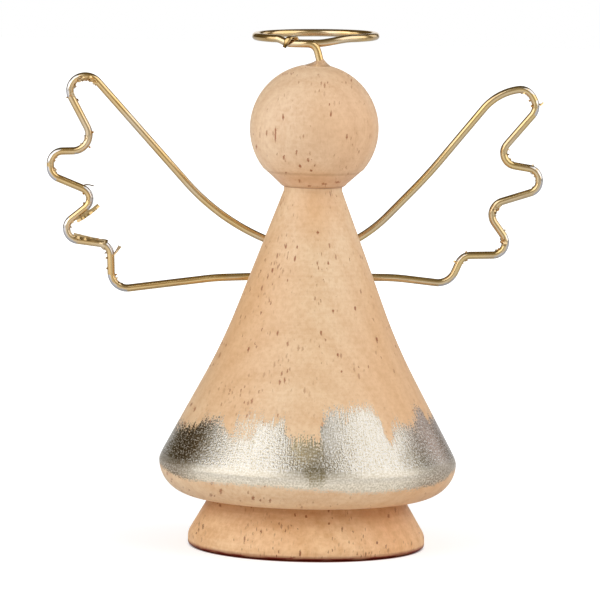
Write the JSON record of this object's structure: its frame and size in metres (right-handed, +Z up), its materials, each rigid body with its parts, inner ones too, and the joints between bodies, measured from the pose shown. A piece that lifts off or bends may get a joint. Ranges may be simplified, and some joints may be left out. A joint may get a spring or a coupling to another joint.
{
  "type": "wooden angel figurine",
  "caption": "Free-standing turned wooden angel ornament with a ball head, flared skirt, round foot, bent-wire wings and a wire halo.",
  "frame": {"origin": "middle of the flat face that the foot rests on, on the turning axis of the wood", "axes": "+Z up along the turning axis; -Y is the front that the picture shows, so the wings and the halo lie towards +Y; +X is to the right of someone who looks at the front"},
  "size_m": [0.1368, 0.081, 0.1396],
  "materials": {
    "beech": "fine-sanded beech under a thin matt lacquer, with a brushed metallic paint band on the hem",
    "dowel": "plain beech dowel rod",
    "gilded_wire": "polished gold film on soft aluminium wire, worn at the bends",
    "clear_glue": "clear set glue"
  },
  "bodies": {
    "root": {"foot": "beech", "skirt_body": "beech", "head_ball": "beech", "foot_dowel": "dowel", "neck_dowel": "dowel", "wing_wire_left": "gilded_wire", "wing_wire_right": "gilded_wire", "halo_wire": "gilded_wire", "halo_glue_bead": "clear_glue"}
  },
  "joints": []
}
